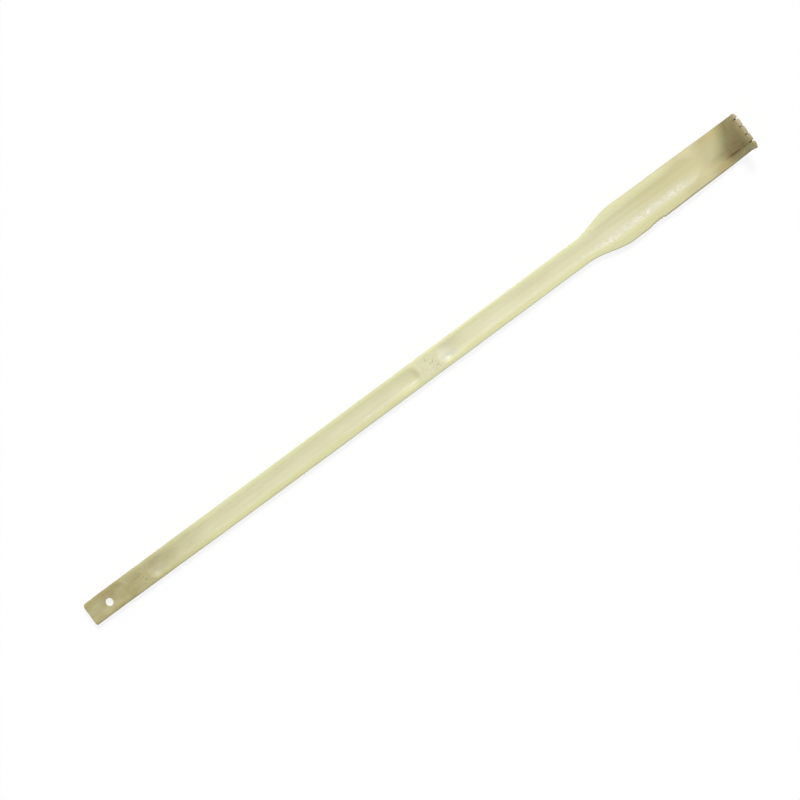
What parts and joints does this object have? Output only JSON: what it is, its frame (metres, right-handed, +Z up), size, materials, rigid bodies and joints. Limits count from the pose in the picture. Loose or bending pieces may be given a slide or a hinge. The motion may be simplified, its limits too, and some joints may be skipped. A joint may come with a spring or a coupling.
{
  "type": "back scratcher",
  "caption": "Long split-bamboo strip with a hollowed inner face, a wide flat head, a bent claw of sawn fingers at one end and a hang hole at the other.",
  "frame": {"origin": "on the axis of the hang hole, in the plane that the flat sanded along the back lies on", "axes": "+X along the strip from the butt to the claw, +Z up through the hang hole towards the hollow side and the fingertips, +Y across the strip"},
  "size_m": [0.5, 0.0272, 0.019],
  "materials": {
    "culm_wall": "planed bamboo, satin, scorched brown at the bend",
    "outer_skin": "scraped bamboo skin, smooth and slightly glossy",
    "septum": "sawn bamboo diaphragm, rough and pitted",
    "lining": "papery inner lining, smooth and glossy"
  },
  "bodies": {
    "root": {"culm_wall": "culm_wall", "outer_skin": "outer_skin", "middle_septum": "septum", "grip_septum": "septum", "head_lining": "lining", "handle_lining": "lining", "butt_lining": "lining"}
  },
  "joints": []
}
